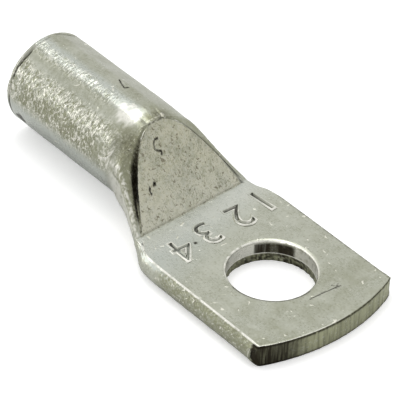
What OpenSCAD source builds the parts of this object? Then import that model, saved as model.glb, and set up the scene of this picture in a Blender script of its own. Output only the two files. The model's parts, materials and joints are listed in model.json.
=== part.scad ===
// Tubular cable lug: one piece of tinned copper tube, pressed flat at one end.
// The round end is the wire barrel. The flat end is the palm, with a stud hole.
// +X runs from the barrel's mouth to the palm's tip, and +Z is up.
// The origin lies on the stud hole's axis, on the underside of the palm.

/* [Palm] */
// Diameter of the stud hole
stud_hole_d = 4.3; // [3.2:0.1:5.3]
// Thickness of the palm, two tube walls pressed together
palm_t = 1.2; // [1.0:0.05:1.4]
// Width of the palm over its rounded sides
palm_w = 8.5; // [7.8:0.1:9.5]
// How far each rounded side stands out past the flat top face
side_bulge = 0.27; // [0.15:0.01:0.4]
// From the hole's axis to the middle of the tip
tip_reach = 4.65; // [4:0.05:7]
// Radius of the sheared tip
tip_r = 10.4; // [8:0.1:20]
// Radius of the two corners beside the tip
corner_r = 0.45; // [0.2:0.05:1]
// Broken edge round the top of the stud hole
hole_edge = 0.08; // [0.04:0.01:0.15]

/* [Wire barrel] */
// Outer diameter of the tube
barrel_d = 5; // [4.6:0.1:5.4]
// Bore of the tube, which takes the stripped wire
bore_d = 3.4; // [3:0.1:3.6]
// From the hole's axis to the barrel's mouth
mouth_reach = 17; // [14:0.5:22]
// Radius of the outer edge of the mouth
mouth_edge_r = 0.22; // [0.1:0.02:0.4]
// Lead-in chamfer at the mouth of the bore
lead_in = 0.2; // [0.1:0.05:0.3]

/* [Pressed transition] */
// From the hole's axis back to the crease where the palm begins
crease_reach = 5.75; // [5:0.05:6.5]
// Slope of the pressed face, up from the palm
face_angle = 50; // [46:1:54]
// Length of the pressed face along its slope
face_len = 4.6; // [4.3:0.05:4.8]
// Half the width of the pressed face at the crease
face_half_w = 3.25; // [3:0.05:3.4]
// How far the folded shoulder beside that face lies below it, half way along
rim_drop = 0.15; // [0.05:0.01:0.25]
// Depth of the fold between the face and the shoulder
fold_depth = 0.5; // [0.2:0.05:0.6]

/* [Hidden] */

barrel_r = barrel_d / 2;
bore_r = bore_d / 2;
wall = barrel_r - bore_r;
palm_half = palm_w / 2;
flat_half = palm_half - side_bulge;
// One arc makes the rounded side: it runs over the thickness and stands out by the bulge
side_r = (pow(side_bulge, 2) + pow(palm_t / 2, 2)) / (2 * side_bulge);
side_arc_y = palm_half - side_r;
side_angle = asin(palm_t / 2 / side_r);

crease_x = -crease_reach;
face_run = face_len * cos(face_angle);
face_tip_x = crease_x - face_run;
face_tip_z = palm_t + face_len * sin(face_angle);
// The tube leaves its round shape over the shoulder, and is fully folded just past the face's tip
shoulder_run = 1.1;
round_end_x = face_tip_x - shoulder_run;
folded_x = face_tip_x + 0.12;
// Past the crease the sides flare out to the palm's full width
flare_run = 2.25;
palm_start_x = crease_x + flare_run;
neck_half = face_half_w + 0.25;
// The fold eases into the palm's section from just before the crease
palm_blend_x = crease_x - 0.2;
palm_blend_run = 1.3;

// An octagon drawn round the tube has sides of twice this length
octant = barrel_r * tan(22.5);
// The flanks spread from the tube's radius to the palm's over this stretch
spread_x = round_end_x + 0.3;
spread_run = 6;
flank_out = 0.04;
// Width of the fold at the crease, and how much wider it opens towards the tip
fold_w = 0.08;
fold_open = 0.6;
fold_edge_r = 0.06;
crest_r = 0.08;
// The crest beside the tip of the face lies this much lower, and the shoulder falls away from it
tip_drop = 0.12;
shoulder_fall = 0.85;
shoulder_step = 0.01;
shoulder_r = 1.6;
shoulder_end_r = 0.2;
shoulder_out = 0.12;
// Part of the tube's radius taken by the shoulder beside the tip
shoulder_part = 0.94;
foot_r = 0.1;
neck_edge_r = 0.05;
// The tip of the face is this blunt, as a part of its length
least_t = 0.01;
// The groove, crest and shoulder of the fold end this many degrees apart round the palm's side
side_step = 3;
side_turn_r = 0.4;

// The bore ends in a thin slit between the two walls
bore_end_x = round_end_x + 0.1;
slit_x = crease_x - 0.6;
slit_half = 2.4;
slit_h = 0.06;

// Two roundings that meet on one edge use this part of it
edge_share = 0.97;
// A corner on a nearly straight edge is still rounded over this part of it
least_part = 0.2;
overlap = 0.05;
// The pressed stretch enters the barrel and the palm this far inside their surfaces
seat = 0.01;
seat_run = 0.4;
through = 1;
round_fn = 128;
// Steps round each corner of the half section, and along the straight before each one
arc_steps = [2, 2, 2, 5, 7, 4];
edge_steps = [4, 1, 1, 2, 4, 3, 4];
shoulder_stations = 7;
face_stations = 19;
neck_stations = 9;

function mix(a, b, k) = a + (b - a) * k;
function clamp(v) = min(1, max(0, v));
function ease(v) = let (c = clamp(v)) c * c * (3 - 2 * c);

// Interior angle at corner c of a row of [y, z, radius] corners
function bend(row, c) =
    let (u = flat_vec(row[c - 1], row[c]), v = flat_vec(row[c + 1], row[c]))
    max(1, acos(max(-1, min(1, (u * v) / (norm(u) * norm(v))))));
function flat_vec(a, b) = [a[0] - b[0], a[1] - b[1]];

// How far along its edges a corner's rounding wants to reach. The two ends have none.
function wanted(row, c) =
    c == 0 || c == len(row) - 1 ? 0 :
    let (shorter = min(norm(flat_vec(row[c - 1], row[c])), norm(flat_vec(row[c + 1], row[c]))))
    max(row[c][2] / tan(bend(row, c) / 2), least_part * shorter);

// The same, held back so that two neighbours share the edge between them
function granted(row, c) =
    let (
        mine = wanted(row, c),
        before = norm(flat_vec(row[c - 1], row[c])) * mine / (mine + wanted(row, c - 1)),
        after = norm(flat_vec(row[c + 1], row[c])) * mine / (mine + wanted(row, c + 1))
    )
    min(mine, edge_share * before, edge_share * after);

// Rounds corner c with a circular arc, as [y, z] points
function arc_corner(row, c, steps) =
    let (
        p = [row[c][0], row[c][1]],
        u = flat_vec(row[c - 1], row[c]),
        v = flat_vec(row[c + 1], row[c]),
        reach = granted(row, c),
        a = p + u / norm(u) * reach,
        b = p + v / norm(v) * reach,
        pull = sin(bend(row, c) / 2)
    )
    [for (i = [0:steps])
        let (
            k = i / steps,
            w = 2 * k * (1 - k) * pull
        )
        (a * pow(1 - k, 2) + p * w + b * pow(k, 2)) / (pow(1 - k, 2) + w + pow(k, 2))];

// Corners of the folded half section at x, from the pressed face out and down to the underside.
// t runs from the tip of the face to the crease.
function fold_corners(x) =
    let (
        t = clamp((x - face_tip_x) / face_run),
        spread = ease((x - spread_x) / spread_run),
        face_y = face_half_w * sqrt(max(t, least_t)),
        face_z = mix(face_tip_z, palm_t, t),
        gap = fold_w + fold_open * pow(1 - t, 2),
        crest_z = face_z - rim_drop * sin(180 * t) - tip_drop * (1 - t),
        groove_z = crest_z - fold_depth * sin(180 * pow(t, 1.2)),
        shoulder_y = mix(shoulder_part * barrel_r, neck_half + shoulder_out, pow(t, 1.3)),
        shoulder_z = crest_z - shoulder_fall * pow(1 - t, 3) - shoulder_step,
        flank_y = mix(barrel_r, palm_half, spread) + flank_out,
        flank_z = mix(barrel_r - octant, palm_t / 2, spread)
    )
    [
        [face_y, face_z, fold_edge_r],
        [face_y + gap / 2, groove_z, fold_edge_r],
        [face_y + gap, crest_z, crest_r],
        [shoulder_y, shoulder_z, mix(shoulder_r, shoulder_end_r, sqrt(t))],
        [flank_y, flank_z, mix(barrel_r, side_r, spread)],
        [mix(octant, flat_half, spread), 0, mix(barrel_r, foot_r, spread)]
    ];

// A point at this distance from the middle of the palm's side arc, at an angle above it
function side_point(r, angle) = [side_arc_y + r * cos(angle), palm_t / 2 + r * sin(angle)];

// Corners of the palm's half section at x, in the same order
function palm_corners(x) =
    let (
        flare = 1 - pow(1 - clamp((x - crease_x) / (palm_start_x - crease_x)), 2),
        shift = [mix(neck_half - flat_half, 0, flare), 0],
        start = side_angle - 3 * side_step,
        tangents_r = side_r / cos((start + side_angle) / 2),
        tangents_angle = (start - side_angle) / 2
    )
    [
        concat([flat_half, palm_t] + shift, neck_edge_r),
        for (k = [1:3]) concat(side_point(side_r, side_angle - k * side_step) + shift, side_turn_r),
        concat(side_point(tangents_r, tangents_angle) + shift, side_r),
        concat([flat_half, 0] + shift, neck_edge_r)
    ];

// Points between two others, cutting that stretch into equal steps
function between(a, b, steps) = [for (i = [1:1:steps - 1]) mix(a, b, i / steps)];

// Half section at x as [y, z] points, from the top centre out and down to the bottom centre.
// It is eased from the round tube to the fold to the palm.
function half_section(x) =
    let (
        to_palm = ease((x - palm_blend_x) / palm_blend_run),
        to_fold = ease((x - round_end_x) / (folded_x - round_end_x)),
        corners = mix(fold_corners(x), palm_corners(x), to_palm),
        top = [0, corners[0][1]],
        bottom = [0, 0],
        row = concat([concat(top, 0)], corners, [concat(bottom, 0)]),
        last = len(corners),
        arcs = [for (c = [1:last]) arc_corner(row, c, arc_steps[c - 1])],
        outline = concat(
            [top],
            [for (c = [0:last - 1]) each concat(
                between(c == 0 ? top : arcs[c - 1][arc_steps[c - 1]], arcs[c][0], edge_steps[c]),
                arcs[c]
            )],
            between(arcs[last - 1][arc_steps[last - 1]], bottom, edge_steps[last]),
            [bottom]
        ),
        centre = [0, barrel_r],
        to_seat = ease((x - palm_start_x + seat_run) / seat_run)
    )
    [for (p = outline)
        let (
            arm = p - centre,
            q = centre + arm / norm(arm) * mix(barrel_r - seat, norm(arm), to_fold),
            inner = [q[0] * (1 - seat / palm_half), mix(q[1], palm_t / 2, 2 * seat / palm_t)]
        )
        mix(q, inner, to_seat)];

// Closed ring of points at x, once round the section
function section(x) =
    let (half = half_section(x))
    concat(
        [for (p = half) [x, p[0], p[1]]],
        [for (i = [len(half) - 2:-1:1]) [x, -half[i][0], half[i][1]]]
    );

function stations(from, to, steps, power = 1) =
    [for (i = [0:steps - 1]) mix(from, to, pow(i / steps, power))];

// Middle of a ring that starts at the top centre
function middle(ring) = (ring[0] + ring[len(ring) / 2]) / 2;

// Skins a row of rings that all have the same number of points, and closes each end with a fan
module loft(rings) {
    n = len(rings[0]);
    rows = len(rings);
    walls = [for (r = [0:rows - 2]) for (i = [0:n - 1])
        let (j = (i + 1) % n)
        each [
            [r * n + i, r * n + j, (r + 1) * n + j],
            [r * n + i, (r + 1) * n + j, (r + 1) * n + i]
        ]];
    near_end = [for (i = [0:n - 1]) [rows * n, (i + 1) % n, i]];
    far_end = [for (i = [0:n - 1])
        [rows * n + 1, (rows - 1) * n + i, (rows - 1) * n + (i + 1) % n]];
    polyhedron(
        concat([for (ring = rings) each ring], [middle(rings[0]), middle(rings[rows - 1])]),
        concat(walls, near_end, far_end)
    );
}

// Round tube with a rounded outer edge at its mouth
module barrel_body() {
    length = mouth_reach + round_end_x + overlap;
    translate([-mouth_reach, 0, barrel_r])
        rotate([0, 90, 0])
            rotate_extrude($fn = round_fn)
                union() {
                    translate([0, mouth_edge_r])
                        square([barrel_r, length - mouth_edge_r]);
                    square([barrel_r - mouth_edge_r, length]);
                    translate([barrel_r - mouth_edge_r, mouth_edge_r])
                        circle(mouth_edge_r, $fn = 32);
                }
}

// The pressed stretch between the barrel and the palm, with its face, folds and ridges
module transition_body() {
    // The stations crowd together at the tip of the face, where its outline turns
    loft([for (x = concat(
        stations(round_end_x, face_tip_x, shoulder_stations),
        stations(face_tip_x, crease_x, face_stations, 1.7),
        stations(crease_x, palm_start_x + overlap, neck_stations),
        [palm_start_x + overlap]
    )) section(x)]);
}

// Outline of the palm from above, with its sheared tip
module palm_outline() {
    arc_x = tip_reach - tip_r;
    corner_y = palm_half - corner_r;
    corner_x = arc_x + sqrt(pow(tip_r - corner_r, 2) - pow(corner_y, 2));
    // Where the tip's arc runs into each corner
    meet = tip_r / (tip_r - corner_r);
    meet_x = arc_x + (corner_x - arc_x) * meet;
    meet_y = corner_y * meet;
    union() {
        translate([palm_start_x, -palm_half])
            square([corner_x - palm_start_x, palm_w]);
        for (side = [-1, 1])
            translate([corner_x, side * corner_y])
                circle(corner_r, $fn = 32);
        intersection() {
            translate([arc_x, 0])
                circle(tip_r, $fn = 360);
            polygon([
                [corner_x, -corner_y], [meet_x, -meet_y], [tip_reach + through, -meet_y],
                [tip_reach + through, meet_y], [meet_x, meet_y], [corner_x, corner_y]
            ]);
        }
    }
}

// Section of the palm across its width, with both rounded sides
module palm_section() {
    intersection() {
        translate([-palm_half, 0])
            square([palm_w, palm_t]);
        union() {
            translate([-side_arc_y, 0])
                square([2 * side_arc_y, palm_t]);
            for (side = [-1, 1])
                translate([side * side_arc_y, palm_t / 2])
                    circle(side_r, $fn = 96);
        }
    }
}

module palm_body() {
    intersection() {
        linear_extrude(palm_t)
            palm_outline();
        translate([palm_start_x, 0, 0])
            rotate([90, 0, 90])
                linear_extrude(tip_reach - palm_start_x + through)
                    palm_section();
    }
}

// Clearance hole for the stud, with its upper edge broken
module stud_hole() {
    hole_r = stud_hole_d / 2;
    translate([0, 0, -through])
        cylinder(r = hole_r, h = palm_t + 2 * through, $fn = round_fn);
    translate([0, 0, palm_t - hole_edge])
        cylinder(r1 = hole_r, r2 = hole_r + 2 * hole_edge, h = 2 * hole_edge, $fn = round_fn);
}

// Blind bore for the wire. Past the round barrel it tapers to the closed seam of the two walls.
module wire_bore() {
    translate([-mouth_reach - through, 0, barrel_r])
        rotate([0, 90, 0])
            cylinder(r = bore_r, h = bore_end_x + mouth_reach + through, $fn = round_fn);
    translate([-mouth_reach - lead_in, 0, barrel_r])
        rotate([0, 90, 0])
            cylinder(r1 = bore_r + 2 * lead_in, r2 = bore_r, h = 2 * lead_in, $fn = round_fn);
    hull() {
        translate([bore_end_x - overlap, 0, barrel_r])
            rotate([0, 90, 0])
                cylinder(r = bore_r - 0.01, h = overlap, $fn = 32);
        translate([slit_x - overlap, -slit_half, wall - slit_h])
            cube([overlap, 2 * slit_half, slit_h]);
    }
}

module cable_lug() {
    color("silver")
        difference() {
            union() {
                barrel_body();
                transition_body();
                palm_body();
            }
            stud_hole();
            wire_bore();
        }
}

cable_lug();
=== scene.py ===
import json
import math
import bpy
import bmesh
import numpy as np
from mathutils import Matrix, Vector, noise


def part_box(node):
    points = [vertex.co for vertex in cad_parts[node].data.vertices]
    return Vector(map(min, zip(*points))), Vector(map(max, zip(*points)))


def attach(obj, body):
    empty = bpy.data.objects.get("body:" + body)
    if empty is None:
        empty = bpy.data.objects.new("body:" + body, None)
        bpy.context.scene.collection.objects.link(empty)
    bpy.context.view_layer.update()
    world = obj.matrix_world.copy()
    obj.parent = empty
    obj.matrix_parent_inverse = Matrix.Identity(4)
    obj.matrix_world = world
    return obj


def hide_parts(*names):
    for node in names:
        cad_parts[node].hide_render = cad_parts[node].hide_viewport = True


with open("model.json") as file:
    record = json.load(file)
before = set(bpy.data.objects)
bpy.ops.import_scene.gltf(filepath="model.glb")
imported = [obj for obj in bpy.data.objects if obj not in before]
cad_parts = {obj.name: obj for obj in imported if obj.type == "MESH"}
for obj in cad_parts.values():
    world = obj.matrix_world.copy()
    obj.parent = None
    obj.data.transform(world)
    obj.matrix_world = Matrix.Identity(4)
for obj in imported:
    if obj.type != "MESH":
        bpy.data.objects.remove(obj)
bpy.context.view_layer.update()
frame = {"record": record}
print("frame loaded")

mm = 0.001
low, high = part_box("cable_lug")
openings = {m["name"]: m["dims"] for m in frame["record"]["mounts"]}

# the skin of the lug, in millimetres. Where a value has two sides, -1 is the near one, at -Y
lug = {
    "mouthX": low.x / mm - 0.15,
    "tipX": high.x / mm,
    "palmHalf": high.y / mm,
    "tubeRadius": high.z / mm / 2,
    "boreRadius": openings["wire_barrel"]["r_mm"],
    "palmThick": 1.2,
    "sideBulge": 0.27,
    "tipRadius": 10.4,
    "tipBendStart": 1.2,        # from here on the rows bend towards the tip's curve
    "cornerRadius": 0.45,
    "mouthRound": 0.2,
    "leadIn": 0.2,
    "tipRound": 0.09,
    "creaseX": -5.75,
    "creaseSkew": -0.042,       # the crease leans a little across the lug
    "faceAngle": 50,
    "faceLength": 4.6,
    "faceHalf": 3.25,
    "faceShift": 0.05,          # the face was pressed a little off centre
    "rimDrop": 0.15,
    "foldDepth": {-1: 0.55, 1: 0.3},
    "foldOpen": {-1: 0.8, 1: 0.25},
    "foldWidth": 0.08,
    # the shoulder beside each fold: half width at its start, fall, and how both die out
    "shoulder": {-1: (2.62, 1.15, 1.4, 1.25), 1: (2.35, 0.85, 3, 1.3)},
    "shoulderRun": 1.1,
    "flareRun": 2.25,
    "slit": (2.4, 0.03),        # half width and half height of the bore's crushed end
    "rows": {"slit": 9, "bore": 8, "mouth": 8, "tube": 146, "neck": 18, "face": 54, "flare": 34,
             "palm": 76, "end": 14},
}

faceRun = lug["faceLength"] * math.cos(math.radians(lug["faceAngle"]))
faceRise = lug["faceLength"] * math.sin(math.radians(lug["faceAngle"]))
faceTipX = lug["creaseX"] - faceRun
faceTipZ = lug["palmThick"] + faceRise
roundEndX = faceTipX - lug["shoulderRun"]
foldedX = faceTipX + 0.12
palmStartX = lug["creaseX"] + lug["flareRun"]
neckHalf = lug["faceHalf"] + 0.25
shoulderHalf = neckHalf + 0.12
flatHalf = lug["palmHalf"] - lug["sideBulge"]
sideRadius = (lug["sideBulge"] ** 2 + (lug["palmThick"] / 2) ** 2) / (2 * lug["sideBulge"])
sideMiddle = lug["palmHalf"] - sideRadius
sideAngle = math.asin(lug["palmThick"] / 2 / sideRadius)
octant = lug["tubeRadius"] * math.tan(math.radians(22.5))   # half a side of the tube's octagon

halfColumns = 120
# columns where the flat top, the fold, the shoulder and the flank end
knotColumns = [0, 44, 62, 74, 99, halfColumns]
palmColumns = [0, 38, 48, 74, 84, halfColumns]


def mix(a, b, k):
    return a + (b - a) * k


def clamp(v):
    return min(1.0, max(0.0, v))


def ease(v):
    v = clamp(v)
    return v * v * (3 - 2 * v)


def smoothStep(a, b, v):
    return ease((v - a) / (b - a))


def fade(a, b, v):
    return 1 - smoothStep(a, b, v)


def between(v, a, b, c, d):
    # rises from a to b and falls from c to d
    return smoothStep(a, b, v) * fade(c, d, v)


def creaseLine(y):
    return lug["creaseX"] + lug["creaseSkew"] * y


def alongFace(x):
    # 0 at the upper end of the pressed face, 1 at the crease
    return clamp((x - faceTipX) / faceRun)


def faceEdge(t, side):
    return lug["faceHalf"] * math.sqrt(max(t, 0.01)) + side * lug["faceShift"]


def foldGap(t, side):
    return lug["foldWidth"] + lug["foldOpen"][side] * (1 - t) ** 2 * mix(0.35, 1, ease(t / 0.4))


def foldCorners(x, side):
    # the corners of half a section through the fold: y, z and how round each is
    tube = lug["tubeRadius"]
    t = alongFace(x)
    spread = ease((x - roundEndX - 0.3) / 6)
    faceY, gap = faceEdge(t, side), foldGap(t, side)
    faceZ = mix(faceTipZ, lug["palmThick"], t)
    soft = ease(t / 0.4)
    crestZ = faceZ - lug["rimDrop"] * math.sin(math.pi * t) - 0.12 * (1 - t) * mix(0.3, 1, soft)
    grooveZ = crestZ - lug["foldDepth"][side] * math.sin(math.pi * t ** 1.2) * mix(0.1, 1, soft) - 0.01
    wide, fall, fallPower, widePower = lug["shoulder"][side]
    shoulderY = mix(wide, shoulderHalf, t ** widePower)
    return [
        (faceY, faceZ, 0.05),
        (faceY + gap / 2, grooveZ, mix(0.4, 0.05, soft)),
        (faceY + gap, crestZ, mix(1.3, 0.12, soft)),
        (shoulderY, crestZ - fall * (1 - t) ** fallPower - 0.01, mix(1.5, 0.15, t ** 0.4)),
        (mix(tube, lug["palmHalf"], spread) + 0.04, mix(tube - octant, lug["palmThick"] / 2, spread),
         mix(tube, sideRadius, spread)),
        (mix(octant, flatHalf, spread), 0, mix(tube, 0.1, spread)),
    ]


def palmCorners(x):
    flare = 1 - (1 - clamp((x - lug["creaseX"]) / lug["flareRun"])) ** 2
    shift = mix(neckHalf - flatHalf, 0, flare)
    half = lug["palmThick"] / 2
    step = math.radians(3)
    start = sideAngle - 3 * step
    reach = sideRadius / math.cos((start + sideAngle) / 2)
    aim = (start - sideAngle) / 2
    rows = [(flatHalf + shift, lug["palmThick"], 0.05)]
    for k in (1, 2, 3):
        a = sideAngle - k * step
        rows.append((sideMiddle + sideRadius * math.cos(a) + shift, half + sideRadius * math.sin(a), 0.4))
    rows.append((sideMiddle + reach * math.cos(aim) + shift, half + reach * math.sin(aim), sideRadius))
    rows.append((flatHalf + shift, 0, 0.05))
    return rows


def legs(p, i):
    # directions and lengths from a corner to its neighbours, and the angle between them
    u, v = p[i - 1] - p[i], p[i + 1] - p[i]
    lu, lv = np.linalg.norm(u), np.linalg.norm(v)
    return u / lu, v / lv, lu, lv, math.acos(max(-1, min(1, float(u @ v) / (lu * lv))))


def roundedLine(corners):
    # one half section as a dense line, and where each rounded corner starts and ends on it
    p = np.array([c[:2] for c in corners], float)
    reach = [0.0] * len(corners)
    for i in range(1, len(corners) - 1):
        lu, lv, angle = legs(p, i)[2:]
        reach[i] = max(corners[i][2] / math.tan(max(math.radians(1), angle) / 2), 0.2 * min(lu, lv))
    line, ends = [p[0]], []
    for i in range(1, len(corners) - 1):
        u, v, lu, lv, angle = legs(p, i)
        mine = reach[i]
        r = min(mine, 0.97 * lu * mine / (mine + reach[i - 1]), 0.97 * lv * mine / (mine + reach[i + 1]))
        a, b = p[i] + u * r, p[i] + v * r
        first = len(line)
        for k in np.linspace(0, 1, 13):
            w = 2 * k * (1 - k) * math.sin(angle / 2)
            line.append((a * (1 - k) ** 2 + p[i] * w + b * k ** 2) / ((1 - k) ** 2 + w + k ** 2))
        ends.append((first, len(line) - 1))
    line.append(p[-1])
    return np.array(line), ends


def runAlong(line):
    return np.concatenate([[0], np.cumsum(np.linalg.norm(np.diff(line, axis=0), axis=1))])


def halfRing(x, side):
    # points of one side of the section at x, from the top centre round to the bottom centre
    toPalm = ease((x - lug["creaseX"] + 0.2) / 1.3)
    corners = [tuple(mix(a, b, toPalm) for a, b in zip(f, q))
               for f, q in zip(foldCorners(x, side), palmCorners(x))]
    line, ends = roundedLine([(0, corners[0][1], 0)] + corners + [(0, 0, 0)])
    run = runAlong(line)
    # the pressed face is flat at once, and the shoulder beside it leaves the round more slowly
    quick = ease((x - roundEndX) / (foldedX - roundEndX))
    slow = ease((x - roundEndX) / (foldedX + 0.9 - roundEndX))
    toFold = np.interp(run, [run[ends[1][0]], run[ends[2][1]] + 0.2], [quick, slow])
    arm = line - np.array([0, lug["tubeRadius"]])
    length = np.linalg.norm(arm, axis=1)
    scale = mix(lug["tubeRadius"], length, toFold) / length
    line = np.array([0, lug["tubeRadius"]]) + arm * scale[:, None]
    run = runAlong(line)
    knots = [0, run[ends[0][0]], run[ends[2][1]], run[ends[3][1]], run[ends[5][0]], run[-1]]
    columns = np.arange(halfColumns + 1)
    held = np.interp(columns, knotColumns, knots)
    even = run[-1] * columns / halfColumns
    top, under = run[ends[0][0]], run[ends[5][1]]
    palm = np.interp(columns, palmColumns, [0, top - 0.3, top, under, under + 0.3, run[-1]])
    onPalm = ease((x - lug["creaseX"] - 0.3) / 1.7)
    at = mix(mix(held, even, 1 - ease((x + 12) / 2)), palm, onPalm)
    return np.stack([np.interp(at, run, line[:, 0]), np.interp(at, run, line[:, 1])], -1)


def tipEdge(y):
    # x of the sheared tip's outline at y
    middle = lug["tipX"] - lug["tipRadius"]
    r = lug["cornerRadius"]
    cornerY = lug["palmHalf"] - r
    cornerX = middle + math.sqrt((lug["tipRadius"] - r) ** 2 - cornerY ** 2)
    meetY = cornerY * lug["tipRadius"] / (lug["tipRadius"] - r)
    y = np.abs(y)
    arc = middle + np.sqrt(np.maximum(lug["tipRadius"] ** 2 - y ** 2, 0))
    corner = cornerX + np.sqrt(np.maximum(r ** 2 - np.maximum(y - cornerY, 0) ** 2, 0))
    return np.where(y < meetY, arc, corner)


def outerRing(x, tipRow=0.0):
    # a whole closed ring of the outer skin. tipRow above 0 rounds the edge of the tip
    near, far = (halfRing(min(x, lug["tipX"]), side) for side in (-1, 1))
    ring = np.concatenate([far, near[-2:0:-1] * [-1, 1]])
    points = np.zeros((len(ring), 3))
    points[:, 1:] = ring
    bend = clamp((x - lug["tipBendStart"]) / (lug["tipX"] - lug["tipBendStart"])) ** 1.15
    points[:, 0] = x + bend * (tipEdge(ring[:, 0]) - lug["tipX"])
    points[:, 0] += lug["creaseSkew"] * ring[:, 0] * math.exp(-((x - lug["creaseX"]) / 1.3) ** 2)
    if tipRow > 0:
        a = math.radians(90 * tipRow)
        inset = lug["tipRound"] * (1 - math.cos(a))
        half = lug["palmThick"] / 2
        points[:, 0] -= lug["tipRound"] * (1 - math.sin(a))
        points[:, 2] = half + (points[:, 2] - half) * (1 - inset / half)
        points[:, 1] *= 1 - inset / lug["palmHalf"]
    return points


def ovalRing(x, halfWidth, halfHeight, middleZ):
    a = np.linspace(0, 2 * math.pi, 2 * halfColumns, endpoint=False)
    return np.stack([np.full_like(a, x), halfWidth * np.sin(a), middleZ + halfHeight * np.cos(a)], -1)


def roundRing(x, radius):
    return ovalRing(x, radius, radius, lug["tubeRadius"])


def allRings():
    # rings from the blind end of the bore, out over the mouth, and along the lug to its tip
    tube, bore, mouth, lead = lug["tubeRadius"], lug["boreRadius"], lug["mouthX"], lug["leadIn"]
    crease, tip, rows = lug["creaseX"], lug["tipX"], lug["rows"]
    slitWide, slitHigh = lug["slit"]
    boreEnd = roundEndX + 0.1
    rings = []
    for k in np.linspace(0, 1, rows["slit"]):
        e = 1 - k
        rings.append(ovalRing(mix(boreEnd, crease - 0.6, e), mix(bore, slitWide, e ** 1.3),
                              mix(bore, slitHigh, e), mix(tube, tube - bore - slitHigh, e)))
    for x in np.linspace(boreEnd, mouth + lead, rows["bore"])[1:]:
        rings.append(roundRing(x, bore))
    for inward, outward in ((lead * 0.5, lead * 0.5), (0.02, lead * 0.95), (0, lead + 0.03)):
        rings.append(roundRing(mouth + inward, bore + outward))
    flat = tube - lug["mouthRound"]
    for k in (0.33, 0.67):
        rings.append(roundRing(mouth, mix(bore + lead, flat, k)))
    for a in np.radians(np.linspace(0, 90, rows["mouth"])):
        rings.append(roundRing(mouth + lug["mouthRound"] * (1 - math.cos(a)),
                               flat + lug["mouthRound"] * math.sin(a)))
    stations = list(np.linspace(mouth + lug["mouthRound"], roundEndX, rows["tube"])[1:-1])
    stations += list(np.linspace(roundEndX, faceTipX, rows["neck"])[:-1])
    stations += [mix(faceTipX, crease, (i / rows["face"]) ** 1.45) for i in range(rows["face"])]
    stations += list(np.linspace(crease, palmStartX, rows["flare"])[:-1])
    stations += list(np.linspace(palmStartX, tip - lug["tipRound"], rows["palm"]))
    rings += [outerRing(x) for x in stations]
    rings += [outerRing(tip, k) for k in (0.25, 0.5, 0.75, 1.0)]
    return rings


def addObject(name, data):
    made = bpy.data.objects.new(name, data)
    bpy.context.collection.objects.link(made)
    return made


def buildSkin():
    rings = allRings()
    count = 2 * halfColumns
    points = [p for ring in rings for p in ring]
    faces = []
    for r in range(len(rings) - 1):
        for i in range(count):
            j = (i + 1) % count
            faces.append((r * count + i, (r + 1) * count + i, (r + 1) * count + j, r * count + j))
    # the sheared end face, in rows from its top edge to its bottom edge
    last = (len(rings) - 1) * count
    rows = lug["rows"]["end"]
    table = {}
    for c in range(halfColumns // 2):
        for side in (0, 1):
            if c == 0 and side:
                continue
            top = last + (count - c if side else c)
            bottom = last + halfColumns + (c if side else -c)
            a, b = points[top], points[bottom]
            table[c, side] = [top]
            for k in range(1, rows):
                points.append(a + (b - a) * k / rows)
                table[c, side].append(len(points) - 1)
            table[c, side].append(bottom)
    table[0, 1] = table[0, 0]
    for c in range(halfColumns // 2 - 1):
        for k in range(rows):
            faces.append((table[c, 0][k], table[c, 0][k + 1], table[c + 1, 0][k + 1], table[c + 1, 0][k]))
            faces.append((table[c, 1][k], table[c + 1, 1][k], table[c + 1, 1][k + 1], table[c, 1][k + 1]))
    c = halfColumns // 2 - 1
    for k in range(rows):
        faces.append((table[c, 0][k], table[c, 0][k + 1], last + halfColumns // 2))
    for k in range(rows):
        faces.append((table[c, 1][k + 1], table[c, 1][k], last + count - halfColumns // 2))
    # the blind end of the bore
    faces.append(tuple(range(count)))
    mesh = bpy.data.meshes.new("lugSkin")
    mesh.from_pydata([tuple(float(v) * mm for v in p) for p in points], [], faces)
    mesh.validate()
    return addObject("lugSkin", mesh)


def only(piece):
    bpy.ops.object.select_all(action="DESELECT")
    piece.select_set(True)
    bpy.context.view_layer.objects.active = piece


def weld(piece, gap):
    # closes the seams and turns every face outwards
    only(piece)
    bpy.ops.object.mode_set(mode="EDIT")
    bpy.ops.mesh.select_all(action="SELECT")
    bpy.ops.mesh.remove_doubles(threshold=gap)
    bpy.ops.mesh.normals_make_consistent(inside=False)
    bpy.ops.object.mode_set(mode="OBJECT")


def joined(pieces):
    bpy.ops.object.select_all(action="DESELECT")
    for piece in pieces:
        piece.select_set(True)
    bpy.context.view_layer.objects.active = pieces[0]
    bpy.ops.object.join()
    weld(pieces[0], 0.001 * mm)
    return pieces[0]


lugSkin = buildSkin()
weld(lugSkin, 0.0005 * mm)
print("skin built", len(lugSkin.data.vertices))

# the uneven plated surface, as small moves along the normals, in millimetres
surface = {
    "tubeLump": (0.75, 0.012),           # size of the pattern and its height
    "tubeWrinkle": (0.14, 0.33, 0.021),  # along the tube, round it, and height
    "flattened": ((-9.8, -0.72), (1.35, 1.0), 0.045),   # middle, reach and depth
    "faceWave": (0.9, 0.006),
    "palmWave": (1.3, 0.005),
    "sideLump": (0.30, 0.016),
    "sideInset": 0.03,
    "shearStep": (0.13, 0.016),
    "foldLump": (0.16, 0.022),
    "rimGroove": (0.29, 0.06, 0.03),     # distance from the mouth, half width and depth
    "creaseGroove": (0.06, 0.012),
    "kink": ((-8.35, -2.45, 1.35), 0.55, 0.10),         # middle, reach and height of a bulge
    "softHead": ((-8.65, -1.65), (0.75, 0.85)),         # where the tube rolls into the near fold
    "softSteps": 30,
}

# spots where the colour is darker, each as a middle and a reach; the dent's is painted shade
darkSpots = {
    "dent": ((-16.25, 116), (0.5, 11)),        # x and the turn round the tube
    "foldHead": ((-8.45, -1.7), (0.85, 0.7)),
    "faceTip": ((-8.85, 0.4), (1, 1.3333)),
}


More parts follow.
